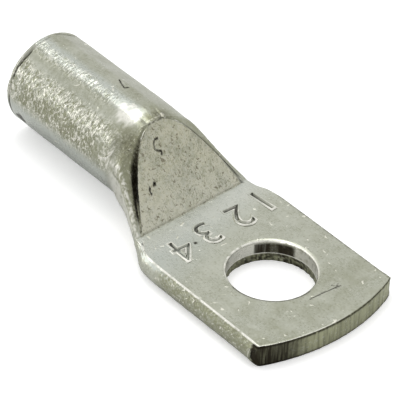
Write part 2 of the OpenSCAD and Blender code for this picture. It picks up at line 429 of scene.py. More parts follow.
def ripple(p, along, across, seed):
    return noise.noise(Vector((p[0] / along + seed, p[1] / across, p[2] / across - seed)))


def blot(p, scale, shift=0):
    return noise.noise(Vector((p[0] * scale, p[1] * scale, p[2] * scale + shift)))


def spotAway(p, middle, reach):
    # distance from the middle of a spot, 1 at its border
    return math.hypot((p[0] - middle[0]) / reach[0], (p[1] - middle[1]) / reach[1])


def tubeTurn(p):
    # angle round the tube, from its top towards -Y
    return math.degrees(math.atan2(-p[1], p[2] - lug["tubeRadius"]))


def onTube(p):
    if p[0] > roundEndX + 1.6 or math.hypot(p[1], p[2] - lug["tubeRadius"]) < lug["tubeRadius"] - 0.35:
        return 0.0
    return fade(roundEndX + 0.1, roundEndX + 1.5, p[0])


def flankShare(p):
    # how much of the wrinkled flank a point on the tube has
    turn = tubeTurn(p) + 5 * noise.noise(Vector((p[0] * 0.8, 3, 1)))
    crown = between(turn, 4, 12, 22, 31) * 0.6 * fade(-11.4, -10.4, p[0])
    return onTube(p) * max(between(turn, 33, 45, 84, 100), crown, 0.1)


def flatShare(p):
    # the smooth, slightly flattened spot where the tube meets the press
    return 1 - ease(spotAway(p, *surface["flattened"][:2])) if p[2] > 4 else 0.0


def endShare(p, n):
    # 1 on the sheared end face, 0 away from it, with a soft border at the rounded corners
    if p[0] < 3.2 or abs(n[2]) > 0.72:
        return 0.0
    if abs(p[1]) < 3.9:
        return smoothStep(0.2, 0.62, n[0])
    return smoothStep(3.43, 3.66, p[0] + 0.25 * (4.3 - abs(p[1])))


def foldShare(p):
    # 1 at the bottom of the fold beside the pressed face, 0 outside it
    if p[0] < faceTipX - 0.3 or p[0] > lug["creaseX"] + 0.2:
        return 0.0
    side = 1 if p[1] > 0 else -1
    t = alongFace(p[0])
    gap = foldGap(t, side)
    below = mix(faceTipZ, lug["palmThick"], t) - p[2]
    share = fade(0.35 * gap, 0.62 * gap + 0.03, abs(abs(p[1]) - faceEdge(t, side) - gap * 0.45))
    share *= between(below, 0.02, 0.16, 0.85, 1.1) * fade(0.97, 1.0, t)
    if side > 0:
        return 0.75 * share * smoothStep(0.05, 0.3, t)
    return share * smoothStep(0.06, 0.34, t + 0.14 * blot(p, 8))


def edgeDistance(p):
    # how far a point lies outside the outline of the pressed face, less than 0 inside it
    t = alongFace(p[0])
    if t < 0.02:
        return math.hypot(min(0, p[0] - faceTipX), max(0, abs(p[1]) - 0.4))
    return abs(p[1]) - faceEdge(t, 1 if p[1] > 0 else -1)


def tarnishAndShadeShare(p):
    # olive tarnish round the pressed face and faintly towards the tip, and painted shade low on the flank
    # and in two bands along the tube
    patchy = 0.5 + 0.9 * blot(p, 1.3, 4)
    if p[0] > creaseLine(p[1]):
        return clamp(patchy + 0.1) * 0.5 * smoothStep(-3.5, 4, p[0])
    around = 0.0
    if p[0] > faceTipX - 1.6 and p[2] > 1.4:
        away = edgeDistance(p)
        if p[1] < 0:
            reach = mix(0.75, 2.3, smoothStep(-0.9, -1.5, p[1]))
        else:
            reach = mix(0.45, 1.3, smoothStep(0, 0.4, p[1]))
        around = fade(0.5 * reach, reach, away) * smoothStep(-0.02, 0.03, away)
        around *= 1 if p[1] < 0 else 0.75
        around *= 1 - 0.6 * smoothStep(-7.4, -6.2, p[0])
    turn = tubeTurn(p)
    low = between(turn, 56, 70, 82, 92) * smoothStep(-16.6, -15.6, p[0]) * (0.4 + 0.8 * patchy)
    crown = 0.4 * between(turn, -60, -25, 0, 8) * (0.2 + patchy)
    band = 0.3 * between(turn, 19, 24, 31, 37)
    return clamp(max(around * (0.75 + 0.4 * patchy), onTube(p) * max(low, crown, band)))


def darkBesideFold(p):
    # darker colour beside the near fold, widest at its upper end
    if p[1] > 0 or p[0] < faceTipX - 1.4 or p[0] > lug["creaseX"] or p[2] < 1.3:
        return 0.0
    t = alongFace(p[0])
    reach = mix(1.3, 0.32, t ** 0.6)
    away = edgeDistance(p)
    outside = smoothStep(-0.06, 0.05, away)
    along = outside * fade(0.3 * reach, reach, away) * smoothStep(0, 0.15, t) * smoothStep(1.3, 2.0, p[2])
    return max(along, 0.8 * fade(0.0, 1.9, spotAway(p, *darkSpots["foldHead"])) * outside)


def darkAtFaceTip(p):
    return 0.65 * fade(0.12, 0.6, spotAway(p, *darkSpots["faceTip"])) if p[2] > 4.3 else 0.0


def crestShare(p, n):
    # the crest between the near fold and the flank, where a highlight is painted
    if p[1] > 0 or p[0] < faceTipX - 0.6 or p[0] > lug["creaseX"] + 0.1 or n[2] < 0.1 or p[2] < 1.0:
        return 0.0
    wide, widePower = lug["shoulder"][-1][::3]
    crestY = mix(wide, shoulderHalf, alongFace(p[0]) ** widePower) - 0.16
    return fade(0.04, 0.15, abs(abs(p[1]) - crestY)) * smoothStep(-0.3, 0.3, blot(p, 9))


def creaseShare(p, wide):
    if p[2] < lug["palmThick"] - 0.1 or abs(p[1]) > lug["faceHalf"] + 0.05:
        return 0.0
    return fade(0.2 * wide, wide, abs(p[0] - creaseLine(p[1])))


def rimShare(p, wide):
    # the broken groove round the mouth
    if p[0] > lug["mouthX"] + 0.6 or onTube(p) == 0:
        return 0.0
    turn = tubeTurn(p)
    ring = Vector((math.cos(math.radians(turn)), math.sin(math.radians(turn)), 0))
    wander = 0.03 * noise.noise(ring * 3 + Vector((0, 0, 8)))
    broken = smoothStep(-0.3, 0.05, noise.noise(ring * 6 + Vector((9, 0, 2))))
    seen = max(between(turn, 20, 32, 60, 74), 0.5 * broken, between(turn, 84, 92, 112, 120))
    return seen * fade(0.25 * wide, wide, abs(p[0] - lug["mouthX"] - surface["rimGroove"][0] - wander))


def dentShare(p):
    # a dent low on the near side of the mouth, darkened with painted shade
    away = spotAway((p[0], tubeTurn(p)), *darkSpots["dent"])
    return 0.9 * onTube(p) * fade(0.5, 1.0, away + 0.35 * blot(p, 4))


def moveAt(p, n):
    move = 0.0
    tubeShare = onTube(p)
    if tubeShare > 0:
        size, height = surface["tubeLump"]
        move += height * tubeShare * ripple(p, size, size, 3)
        along, across, height = surface["tubeWrinkle"]
        move += height * flankShare(p) * 1.6 * ripple(p, along, across, 11)
        move -= surface["flattened"][2] * flatShare(p)
        move -= surface["rimGroove"][2] * max(rimShare(p, surface["rimGroove"][1]), dentShare(p))
    if p[0] > faceTipX:
        if n[2] > 0.5 and p[0] < lug["creaseX"]:
            size, height = surface["faceWave"]
            move += height * ripple(p, size, size, 21)
        if p[0] > lug["creaseX"] and abs(n[2]) > 0.7:
            size, height = surface["palmWave"]
            move += height * ripple(p, size, size, 31)
        move -= surface["creaseGroove"][1] * creaseShare(p, surface["creaseGroove"][0])
        sideFace = smoothStep(0.35, 0.75, abs(n[1])) * between(p[0], faceTipX, faceTipX + 1.5, 2.9, 3.5)
        size, height = surface["sideLump"]
        lumps = ripple(p, size * 1.5, size, 41) + 0.5 * ripple(p, size * 0.6, size * 0.4, 43)
        move += sideFace * (height * lumps - surface["sideInset"])
        end = endShare(p, n) * fade(3.9, 4.2, abs(p[1]))
        if end > 0:
            size, height = surface["shearStep"]
            coarse = noise.noise(Vector((p[1] / size, p[2] / 1.4, 5)))
            fine = noise.noise(Vector((p[1] / size * 2.3, p[2] / 0.8, 9)))
            move += height * end * (coarse + 0.6 * fine - 0.4)
    kink, reach, height = surface["kink"]
    away = (p - np.array(kink)) / reach
    move += height * math.exp(-float(away @ away))
    share = foldShare(p)
    if share > 0:
        size, height = surface["foldLump"]
        move += height * share * ripple(p, size, size, 51)
    return move


def readSurface(mesh):
    places, normals = np.empty(len(mesh.vertices) * 3), np.empty(len(mesh.vertices) * 3)
    mesh.vertices.foreach_get("co", places)
    mesh.vertex_normals.foreach_get("vector", normals)
    return places.reshape(-1, 3), normals.reshape(-1, 3)


def roughen(piece):
    places, normals = readSurface(piece.data)
    for i, n in enumerate(normals):
        places[i] += n * moveAt(places[i] / mm, n) * mm
    piece.data.vertices.foreach_set("co", places.ravel())
    piece.data.update()


def softenFoldHead(piece):
    # the tube rolls gently into the upper end of the near fold
    only(piece)
    bpy.ops.object.mode_set(mode="EDIT")
    bpy.ops.mesh.select_mode(type="VERT")
    bpy.ops.mesh.select_all(action="DESELECT")
    work = bmesh.from_edit_mesh(piece.data)
    for v in work.verts:
        p = v.co / mm
        if spotAway(p, *surface["softHead"]) < 1 and p.z > 3 and edgeDistance(p) > 0.1:
            v.select_set(True)
    bmesh.update_edit_mesh(piece.data)
    bpy.ops.mesh.vertices_smooth(factor=0.5, repeat=surface["softSteps"])
    bpy.ops.object.mode_set(mode="OBJECT")


softenFoldHead(lugSkin)
roughen(lugSkin)
print("surface roughened")

# the stud hole, cut with a turned cutter
studHole = {
    "radius": openings["stud_hole"]["r_mm"],
    "rollOver": (0.13, 0.2),     # depth and reach of the rounded upper edge
    "seamAt": 0.46,              # below this height the wall is torn
    "lowerExtra": 0.03,
    "tornDepth": 0.045,
    "sides": 160,
}


def growRing(rise, scale):
    bpy.ops.mesh.extrude_region_move(TRANSFORM_OT_translate={"value": (0, 0, rise * mm)})
    bpy.ops.transform.resize(value=(scale, scale, 1), center_override=(0, 0, 0))


def makeHoleCutter():
    r, top = studHole["radius"], lug["palmThick"]
    roll, reach = studHole["rollOver"]
    lower = r + studHole["lowerExtra"]
    bpy.ops.object.select_all(action="DESELECT")
    bpy.ops.mesh.primitive_cylinder_add(vertices=studHole["sides"], radius=lower * mm, depth=0.3 * mm,
                                        location=(0, 0, -0.15 * mm))
    cutter = bpy.context.object
    cutter.name = "holeCutter"
    only(cutter)
    bpy.ops.object.transform_apply()
    bpy.ops.object.mode_set(mode="EDIT")
    bpy.ops.mesh.select_mode(type="FACE")
    work = bmesh.from_edit_mesh(cutter.data)
    for face in work.faces:
        face.select_set(face.normal.z > 0.9)
    bmesh.update_edit_mesh(cutter.data)
    seam = studHole["seamAt"]
    profile = [(z, lower) for z in np.linspace(0.08, seam, 6)]
    profile += [(seam + rise, r) for rise in (0.005, 0.03, 0.06)]
    profile += [(z, r) for z in np.linspace(seam + 0.08, top - roll, 7)]
    for a in np.radians(np.linspace(12, 78, 6)):
        profile.append((top - roll + roll * math.sin(a), r + reach * (1 - math.cos(a))))
    profile.append((top + 0.03, r + reach * 1.3))
    now, wide = 0.0, lower
    for z, radius in profile:
        growRing(z - now, radius / wide)
        now, wide = z, radius
    bpy.ops.object.mode_set(mode="OBJECT")
    for v in cutter.data.vertices:
        z, a = v.co.z / mm, math.atan2(v.co.y, v.co.x)
        if z < top - roll:
            below = fade(seam - 0.02, seam + 0.01, z)
            grain = noise.noise(Vector((math.cos(a) * 14, math.sin(a) * 14, z * 1.2)))
            torn = noise.noise(Vector((math.cos(a) * 11, math.sin(a) * 11, z * 6 + 7)))
            grow = 0.004 * grain * (1 - below) + studHole["tornDepth"] * torn * below
            v.co.x += math.cos(a) * grow * mm
            v.co.y += math.sin(a) * grow * mm
    return cutter


def cut(piece, cutter, operation):
    only(piece)
    modifier = piece.modifiers.new("cut", "BOOLEAN")
    modifier.operation = operation
    modifier.solver = "MANIFOLD"
    modifier.object = cutter
    bpy.ops.object.modifier_apply(modifier=modifier.name)
    bpy.data.objects.remove(cutter)


cut(lugSkin, makeHoleCutter(), "DIFFERENCE")
print("hole cut", len(lugSkin.data.polygons))

# plain stamped numbers on the palm, with the metal raised round each stroke
stamp = {
    # glyph, middle in x and y, and turn in degrees
    "marks": [("1", -4.28, 3.05, 4), ("2", -4.05, 1.45, -3),
              ("3", -4.0, -0.65, 3), ("4", -3.72, -2.35, -2)],
    "height": 1.6,
    "groove": {"thin": -0.055, "slope": 0.075},
    "lip": {"thin": 0.05, "slope": 0.035},
    "lean": 1.3,                # degrees: the strokes are deeper towards the crease
}


def makeStamp(way):
    made = []
    for glyph, x, y, tilt in stamp["marks"]:
        bpy.ops.object.select_all(action="DESELECT")
        bpy.ops.object.text_add(location=(0, 0, 0))
        word = bpy.context.object
        word.data.body = glyph
        word.data.size = stamp["height"] / 0.7 * mm
        word.data.align_x = "CENTER"
        word.data.align_y = "CENTER"
        word.data.resolution_u = 4
        word.data.offset = way["thin"] * mm
        word.data.bevel_depth = way["slope"] * mm
        word.data.bevel_resolution = 0
        word.rotation_euler = (0, 0, math.radians(-90 + tilt))
        bpy.ops.object.convert(target="MESH")
        bpy.ops.object.transform_apply(location=False, rotation=True, scale=True)
        word = bpy.context.object
        word.rotation_euler = (0, math.radians(-stamp["lean"]), 0)
        word.location = (x * mm, y * mm, lug["palmThick"] * mm)
        bpy.ops.object.transform_apply()
        made.append(word)
    return joined(made)


cut(lugSkin, makeStamp(stamp["lip"]), "UNION")
cut(lugSkin, makeStamp(stamp["groove"]), "DIFFERENCE")
print("numbers stamped", len(lugSkin.data.polygons))

# gouges and nicks
gouges = {
    # points on the surface in millimetres, and the half width of the cut
    "hook": ([(-8.18, -0.26, 4.1), (-8.18, -0.42, 4.1), (-8.07, -0.58, 3.97), (-7.9, -0.64, 3.77),
              (-7.82, -0.5, 3.67), (-7.77, -0.33, 3.61), (-7.68, -0.4, 3.5)], 0.04),
    "pitA": ([(-6.98, -1.38, 2.67), (-6.92, -1.46, 2.6)], 0.07),
    "pitB": ([(-6.9, -1.74, 2.57), (-6.84, -1.8, 2.5)], 0.05),
    "pitC": ([(-6.78, -1.82, 2.42), (-6.7, -1.78, 2.33)], 0.045),
    "tickA": ([(-12.07, 0.52, 4.95), (-11.74, 0.37, 4.97), (-11.34, 0.25, 4.99)], 0.03),
    "tickB": ([(-11.34, 0.25, 4.99), (-11.3, 0.46, 4.96)], 0.03),
    "nickA": ([(-11.76, -2.47, 2.87), (-11.62, -2.43, 3.09), (-11.38, -2.42, 3.11)], 0.045),
    "nickB": ([(-9.91, -2.46, 2.94), (-9.5, -2.44, 3.06), (-9.18, -2.28, 3.53)], 0.045),
    "scratchA": ([(2.68, -0.03, 1.21), (2.72, 0.8, 1.2), (2.78, 1.5, 1.2), (2.8, 1.8, 1.21)], 0.018),
    "scratchB": ([(2.55, 1.45, 1.21), (2.7, 1.62, 1.2), (2.62, 1.8, 1.21)], 0.014),
    "lipNick": ([(2.15, -0.56, 1.17), (2.22, -0.3, 1.17)], 0.03),
    "dot": ([(-3.72, -1.56, 1.2), (-3.66, -1.54, 1.19)], 0.07),
}


def makeGougeCutter():
    made = []
    for name, (points, wide) in gouges.items():
        data = bpy.data.curves.new(name, "CURVE")
        data.dimensions = "3D"
        data.bevel_depth = wide * mm
        data.bevel_resolution = 1
        data.use_fill_caps = True
        data.resolution_u = 3
        line = data.splines.new("NURBS")
        line.points.add(len(points) - 1)
        for k, (point, q) in enumerate(zip(line.points, points)):
            point.co = (q[0] * mm, q[1] * mm, q[2] * mm, 1)
            point.radius = 0.45 + 0.75 * math.sin(math.pi * (k + 0.6) / (len(points) + 0.2))
        line.use_endpoint_u = True
        line.order_u = min(4, len(points))
        only(addObject(name, data))
        bpy.ops.object.convert(target="MESH")
        made.append(bpy.context.object)
    return joined(made)


cut(lugSkin, makeGougeCutter(), "DIFFERENCE")
print("gouges cut", len(lugSkin.data.polygons))


# masks that the material reads

def nearGouge(p, bright):
    # the nicks get a painted highlight, and all the other gouges painted shade
    best = 0.0
    for name, (points, wide) in gouges.items():
        if name.startswith("nick") != bright:
            continue
        if max(abs(p[0] - points[0][0]), abs(p[1] - points[0][1])) > 2.2:
            continue
        for a, b in zip(points[:-1], points[1:]):
            a, b = Vector(a), Vector(b)
            k = clamp((Vector(p) - a).dot(b - a) / (b - a).length_squared)
            away = (Vector(p) - (a + (b - a) * k)).length
            faint = 0.8 if name.startswith("scratch") else 1
            best = max(best, faint * fade(wide * 0.9, wide * 1.5, away))
    return best


def edgeBend(mesh, places, normals):
    # how far each point stands out from its neighbours
    edges = np.empty(len(mesh.edges) * 2, int)
    mesh.edges.foreach_get("vertices", edges)
    edges = edges.reshape(-1, 2)
    step = places[edges[:, 1]] - places[edges[:, 0]]
    step /= np.maximum(np.linalg.norm(step, axis=1), 1e-9)[:, None]
    bend, number = np.zeros(len(places)), np.zeros(len(places))
    for ends, way in ((edges[:, 0], step), (edges[:, 1], -step)):
        np.add.at(bend, ends, -np.einsum("ij,ij->i", normals[ends], way))
        np.add.at(number, ends, 1)
    return bend / np.maximum(number, 1)


def holeMasks(p, n, speck, worn, sunk):
    # the hole's wall is cut smooth above its seam and torn below it; above the seam it gets a painted
    # sheen with a dark painted reflection patch, and a painted highlight runs along the seam
    seam, radius, thick = studHole["seamAt"], studHole["radius"], lug["palmThick"]
    around, turn = math.hypot(p[0], p[1]), math.degrees(math.atan2(p[1], p[0])) % 360
    if around < radius + 0.06 and p[2] < thick - 0.05:
        lower = fade(seam - 0.01, seam + 0.005, p[2])
        # a dark painted reflection patch on the smooth wall
        patch = between(turn, 107, 109, 160, 162) * (1 - lower)
        patch *= between(p[2], seam + 0.02, seam + 0.06, thick - 0.16, thick - 0.1)
        shine = 0.55 if 60 < turn < 300 else 0.75
        worn = max(shine * (1 - lower) * (1 - patch), fade(0.02, 0.045, abs(p[2] - seam - 0.02)))
        back = mix(0.55, 1.0, between(turn, 60, 105, 160, 195))
        stain = max(patch, lower * mix(0.15, 1.0, smoothStep(-0.35, 0.25, speck)) * back)
        return worn, sunk, stain, lower
    if around < radius + 0.21 and p[2] > thick - 0.12:
        # the rim of the hole gets a painted highlight at the back and painted shade at the front
        back = between(turn, 20, 45, 150, 175) * fade(0.8, 0.97, n[2])
        left = between(turn, 150, 175, 240, 262) * smoothStep(-0.3, 0.1, speck + 0.2)
        worn = back + left * fade(0.02, 0.05, abs(around - radius - 0.06))
        if turn > 265 or turn < 10:
            sunk = max(sunk, 0.6 * fade(0.955, 0.995, n[2]))
    return worn, sunk, 0.0, endShare(p, n)


def bluerSheenShare(p, n):
    # a painted sheen of lighter, bluer grey: on the crown and underside of the tube, low on the neck's
    # near side, and on the palm at the crease
    if p[0] > creaseLine(p[1]) and n[2] > 0.6:
        return fade(-5.4, -2.4, p[0] + 0.35 * p[1])
    if p[0] < roundEndX + 1:
        turn = tubeTurn(p)
        return onTube(p) * max(smoothStep(86, 100, turn), 0.6 * fade(-75, -40, turn),
                               between(turn, -4, 6, 16, 26))
    if p[1] < 0 and p[2] < 2.6 and abs(n[2]) < 0.3:
        return fade(-6.4, -5.2, p[0])
    return 0.0


def pressedShare(p, n):
    if faceTipX < p[0] < creaseLine(p[1]) + 0.03 and n[2] > 0.35 and p[2] > lug["palmThick"] - 0.05:
        return smoothStep(0, 0.06, lug["faceHalf"] * math.sqrt(alongFace(p[0])) + 0.06 - abs(p[1]))
    return 0.0


def masksAt(p, n, worn):
    thick = lug["palmThick"]
    speck = blot(p, 7)
    # no painted highlight where the face tip is darkened
    worn *= 1 - clamp(2 * darkAtFaceTip(p))
    worn = max(worn, nearGouge(p, True))
    # painted shade in the folds, the groove round the mouth, the dent, the crease and the dark gouges
    sunk = max(foldShare(p), rimShare(p, 0.07), dentShare(p), 0.3 * creaseShare(p, 0.05),
               nearGouge(p, False))
    # a painted reflection brightens the underside of the neck and the inside of the bore
    if -9.3 < p[0] < -6 and p[1] < -2 and p[2] < 2.7:
        worn = max(worn, 0.68 * smoothStep(-9.3, -8.5, p[0]) * fade(0.1, 0.35, max(n[2], 0)))
    if p[0] < roundEndX + 0.5 and math.hypot(p[1], p[2] - lug["tubeRadius"]) < lug["boreRadius"] + 0.1:
        worn = 0.75
    worn, sunk, stain, sheared = holeMasks(p, n, speck, worn, sunk)
    # the strokes of the numbers get painted shade, and the raised metal round them a painted highlight
    if abs(p[0] + 4) < 1.25 and abs(p[1]) < 3.6:
        if 1.05 < p[2] < thick:
            strokeShade = 1 - 0.8 * smoothStep(-4.4, -3.6, p[0] + 0.6 * speck)
            sunk = max(sunk, 0.88 * smoothStep(0.008, 0.04, thick - p[2]) * strokeShade)
        elif p[2] > thick + 0.012:
            worn = smoothStep(-0.25, 0.25, speck + 0.35 * (p[0] + 4))
    # the upper edge of the palm gets a painted highlight, and painted shade on its far side
    if p[0] > -5.4 and p[2] > thick - 0.06 and max(abs(p[1]) - 3.4, p[0] - 3) > 0:
        if p[0] > 3:
            bright = fade(-0.6, 1.0, p[1] + 0.8 * speck)
        else:
            bright = 1.0 if p[1] < 0 else 0.3
        worn = bright * between(n[2], 0.25, 0.5, 0.93, 0.985)
        sunk = max(sunk, 0.6 * smoothStep(3.9, 3.99, p[1]) * smoothStep(-0.4, 0.1, speck))
    # painted highlights too on the crest beside the fold, the flattened spot and, a little, the palm at
    # the crease
    worn = max(worn, 0.8 * crestShare(p, n), 0.85 * smoothStep(0.32, 0.75, flatShare(p) + 0.3 * speck))
    if creaseLine(p[1]) < p[0] < -2 and n[2] > 0.9:
        worn = max(worn, 0.2 * fade(-5.0, -3.6, p[0]))
    # a dark line of painted shade, with a cream painted highlight outside it, goes round the pressed face
    if p[0] < lug["creaseX"] and p[2] > thick + 0.05 and n[2] > 0.2:
        away = edgeDistance(p)
        sunk = max(sunk, 0.6 * fade(0.015, 0.06, abs(away - 0.01)) * smoothStep(-0.25, 0.15, speck))
        if p[1] > -1.2:
            cream = (0.8 if p[0] > faceTipX + 0.15 else 0.3) * smoothStep(-0.1, 0.3, speck)
            worn = max(worn, cream * fade(0.02, 0.06, abs(away - 0.12)))
    # a painted dark reflection makes the end nearly black at the near corner and plain further on, with
    # painted shade along its borders
    if sheared > 0 and p[0] > 3:
        stain = fade(-3.0, -1.3, p[1] + 0.3 * speck)
        border = 0.85 * sheared * fade(0.09, 0.18, min(abs(thick - p[2]), abs(p[2])))
        sunk = max(sunk, 0.65 * smoothStep(3.95, 4.2, p[1]), border * smoothStep(-0.4, 0.1, speck + 0.3))
    # the palm's side walls are mottled, and the neck beside the near fold somewhat less
    side = smoothStep(0.45, 0.7, abs(n[1])) * smoothStep(-3.6, -2.6, p[0]) * (1 - sheared)
    if p[1] < 0 and p[2] > 0.8 and -9.3 < p[0] < -5:
        neck = between(p[0], -9.3, -8.3, -5.8, -5.0) * smoothStep(0.1, 0.4, edgeDistance(p))
        side = max(side, 0.6 * neck * smoothStep(0.8, 1.4, p[2]))
    pressed = pressedShare(p, n)
    cool = smoothStep(0.4, 1.0, alongFace(p[0])) if pressed > 0 else bluerSheenShare(p, n)
    tarnish = tarnishAndShadeShare(p) * (1 - pressed) * fade(0.35, 0.7, flatShare(p))
    flank = flankShare(p) if p[0] < faceTipX + 1.2 else 0
    if p[0] > -10.4:
        flank *= 1 - 0.8 * tarnish
    dirt = max(darkBesideFold(p), darkAtFaceTip(p)) * (1 - 0.8 * pressed)
    return {"flank": flank, "sheared": sheared, "sunk": sunk, "pressed": pressed, "side": side,
            "cool": cool, "stain": stain, "worn": worn, "tarnish": tarnish, "dirt": dirt}


def addMasks(piece):
    places, normals = readSurface(piece.data)
    bend = edgeBend(piece.data, places, normals)
    # edges that stand out start with some wear and a painted highlight
    rows = [masksAt(p / mm, n, clamp((b - 0.12) * 3)) for p, n, b in zip(places, normals, bend)]
    for name in rows[0]:
        layer = piece.data.attributes.new(name, "FLOAT", "POINT")
        layer.data.foreach_set("value", [float(row[name]) for row in rows])


addMasks(lugSkin)
only(lugSkin)
bpy.ops.object.shade_smooth_by_angle(angle=math.radians(38))
print("masks added")

# tin plate over copper
tin = {
    "plain": (0.43, 0.442, 0.37, 1),
    "pale": (0.52, 0.53, 0.46, 1),
    "olive": (0.255, 0.26, 0.175, 1),
    "cool": (0.475, 0.505, 0.47, 1),
    "face": (0.54, 0.53, 0.395, 1),
    "beige": (0.58, 0.555, 0.425, 1),
    "cream": (0.70, 0.69, 0.60, 1),
    "bright": (0.82, 0.81, 0.74, 1),
    "brown": (0.15, 0.13, 0.085, 1),
    "sheared": (0.37, 0.38, 0.25, 1),
    "deep": (0.125, 0.118, 0.075, 1),
    "grime": (0.022, 0.018, 0.011, 1),
}


def addNode(nodes, kind, inputs={}, **settings):
    node = nodes.new("ShaderNode" + kind)
    for name, value in settings.items():
        setattr(node, name, value)
    for name, value in inputs.items():
        node.inputs[name].default_value = value
    return node


def makeTin():
    material = bpy.data.materials.new("tinPlate")
    material.use_nodes = True
    nodes, links = material.node_tree.nodes, material.node_tree.links
    shader = nodes["Principled BSDF"]
    shader.inputs["Metallic"].default_value = 1.0
    place = addNode(nodes, "TexCoord")

    def feed(socket, value):
        if isinstance(value, (int, float, tuple)):
            socket.default_value = value
        else:
            links.new(value, socket)

    def mask(name):
        return addNode(nodes, "Attribute", attribute_name=name).outputs["Fac"]

    # sizes are patches per millimetre along x, y and z
    def pattern(size, detail=2, distortion=0.0, turn=(0, 0, 0)):
        fit = addNode(nodes, "Mapping", {"Scale": [v / mm for v in size], "Rotation": turn})
        links.new(place.outputs["Object"], fit.inputs["Vector"])
        node = addNode(nodes, "TexNoise", {"Scale": 1, "Detail": detail, "Distortion": distortion})
        links.new(fit.outputs["Vector"], node.inputs["Vector"])
        return node.outputs["Fac"]

    def remap(value, fromLow, fromHigh, toLow=0.0, toHigh=1.0):
        ends = {"From Min": fromLow, "From Max": fromHigh, "To Min": toLow, "To Max": toHigh}
        node = addNode(nodes, "MapRange", ends, interpolation_type="SMOOTHSTEP")
        links.new(value, node.inputs["Value"])
        return node.outputs["Result"]

    def calc(kind, a, b):
        node = addNode(nodes, "Math", operation=kind)
        feed(node.inputs[0], a)
        feed(node.inputs[1], b)
        return node.outputs[0]

    def blend(share, a, b):
        node = addNode(nodes, "Mix", data_type="RGBA")
        colours = [x for x in node.inputs if x.type == "RGBA"]
        feed(colours[0], a)
        feed(colours[1], b)
        feed([x for x in node.inputs if x.type == "VALUE"][0], share)
        return [x for x in node.outputs if x.type == "RGBA"][0]

    def times(*values):
        total = values[0]
        for value in values[1:]:
            total = calc("MULTIPLY", total, value)
        return total

    def plus(*values):
        total = values[0]
        for value in values[1:]:
            total = calc("ADD", total, value)
        return total

    flank, sheared, sunk = mask("flank"), mask("sheared"), mask("sunk")
    pressed, side, cool = mask("pressed"), mask("side"), mask("cool")
    stain, worn, tarnish, dirt = mask("stain"), mask("worn"), mask("tarnish"), mask("dirt")
    clouds = pattern((0.8, 0.8, 0.8), 3)
    tone = pattern((3, 3, 3))
    grain = pattern((9, 9, 9), 3)
    scribble = pattern((7, 12, 9), 2, 1.2, (0, 0, 0.6))
    wrinkle = pattern((8.5, 4.6, 4.6), 3, 1.1)
    spots = pattern((5.5, 5.5, 5.5), 1, 0.6)
    shearLines = pattern((1, 8.5, 0.6))
    chips = pattern((2.6, 2.6, 2.6), 1, 1.0)
    flakes = pattern((4.6, 5.5, 5.5), 3, 1.5)

    colour = blend(remap(clouds, 0.35, 0.7), tin["plain"], blend(0.4, tin["plain"], tin["pale"]))
    colour = blend(remap(tone, 0.35, 0.7, 0, 0.2), colour, tin["olive"])
    # a painted sheen of lighter, bluer grey
    colour = blend(times(cool, 0.8), colour, tin["cool"])
    # olive tarnish, and painted shade low on the flank and in bands along the tube
    colour = blend(times(tarnish, remap(tone, 0.3, 0.65, 0.75, 1)), colour, tin["olive"])
    colour = blend(remap(grain, 0.5, 0.72, 0, 0.3), colour, tin["pale"])
    colour = blend(remap(grain, 0.48, 0.3, 0, 0.3), colour, tin["olive"])
    colour = blend(times(remap(chips, 0.71, 0.75), calc("SUBTRACT", 1, flank)), colour, tin["cream"])
    # the pressed face is warmer and finely pitted
    warm = blend(remap(clouds, 0.35, 0.7), tin["face"], blend(0.5, tin["face"], tin["plain"]))
    warm = blend(remap(clouds, 0.52, 0.7, 0, 0.2), warm, tin["brown"])
    warm = blend(remap(tone, 0.58, 0.42, 0, 0.5), warm, tin["beige"])
    # a paler cream painted sheen on the pressed face towards the crease
    warm = blend(times(cool, 0.35), warm, tin["cream"])
    warm = blend(remap(scribble, 0.5, 0.6, 0, 0.55), warm, tin["pale"])
    olive = times(remap(scribble, 0.48, 0.37), remap(clouds, 0.35, 0.62, 0.4, 0.85))
    warm = blend(olive, warm, tin["olive"])
    warm = blend(remap(tone, 0.5, 0.68, 0, 0.25), warm, tin["olive"])
    colour = blend(times(pressed, 0.9), colour, warm)
    pits = remap(spots, 0.6, 0.72)
    pits = times(pits, plus(times(pressed, 0.7), times(side, 0.55), times(flank, 0.35),
                            times(tarnish, 0.35)))
    colour = blend(pits, colour, tin["brown"])
    # darker colour beside the near fold and at the face tip
    colour = blend(times(dirt, remap(flakes, 0.35, 0.62, 1.0, 0.5)), colour, tin["deep"])
    colour = blend(times(remap(dirt, 0.3, 0.9, 0, 0.65), remap(grain, 0.52, 0.42)), colour, tin["grime"])
    # the flank's wrinkles get painted glints on their ridges and painted shade in their hollows
    colour = blend(times(flank, remap(wrinkle, 0.52, 0.6)), colour, tin["cream"])
    colour = blend(times(flank, remap(wrinkle, 0.49, 0.38)), colour, tin["olive"])
    # the side walls are mottled
    colour = blend(times(side, remap(flakes, 0.56, 0.42, 0.45, 0.95)), colour, tin["olive"])
    colour = blend(times(side, remap(flakes, 0.62, 0.68, 0, 0.8)), colour, tin["cream"])
    # painted highlights, with some wear on edges that stand out
    colour = blend(times(worn, remap(tone, 0.25, 0.5, 0.3, 1.0)), colour, tin["bright"])
    shearRows = remap(shearLines, 0.32, 0.6)
    rawMetal = blend(shearRows, blend(0.35, tin["sheared"], tin["grime"]), tin["sheared"])
    rawMetal = blend(remap(flakes, 0.55, 0.7, 0, 0.6), rawMetal, tin["pale"])
    colour = blend(sheared, colour, rawMetal)
    # a painted dark reflection on the hole's wall and at the end's near corner, and the torn wall's dark
    # mottling
    colour = blend(times(stain, remap(shearLines, 0.42, 0.66, 0.98, 0.78)), colour, tin["grime"])
    # painted shade in grooves, pits and along edges
    colour = blend(times(sunk, remap(grain, 0.35, 0.7, 1.0, 0.72)), colour, tin["grime"])
    links.new(colour, shader.inputs["Base Color"])

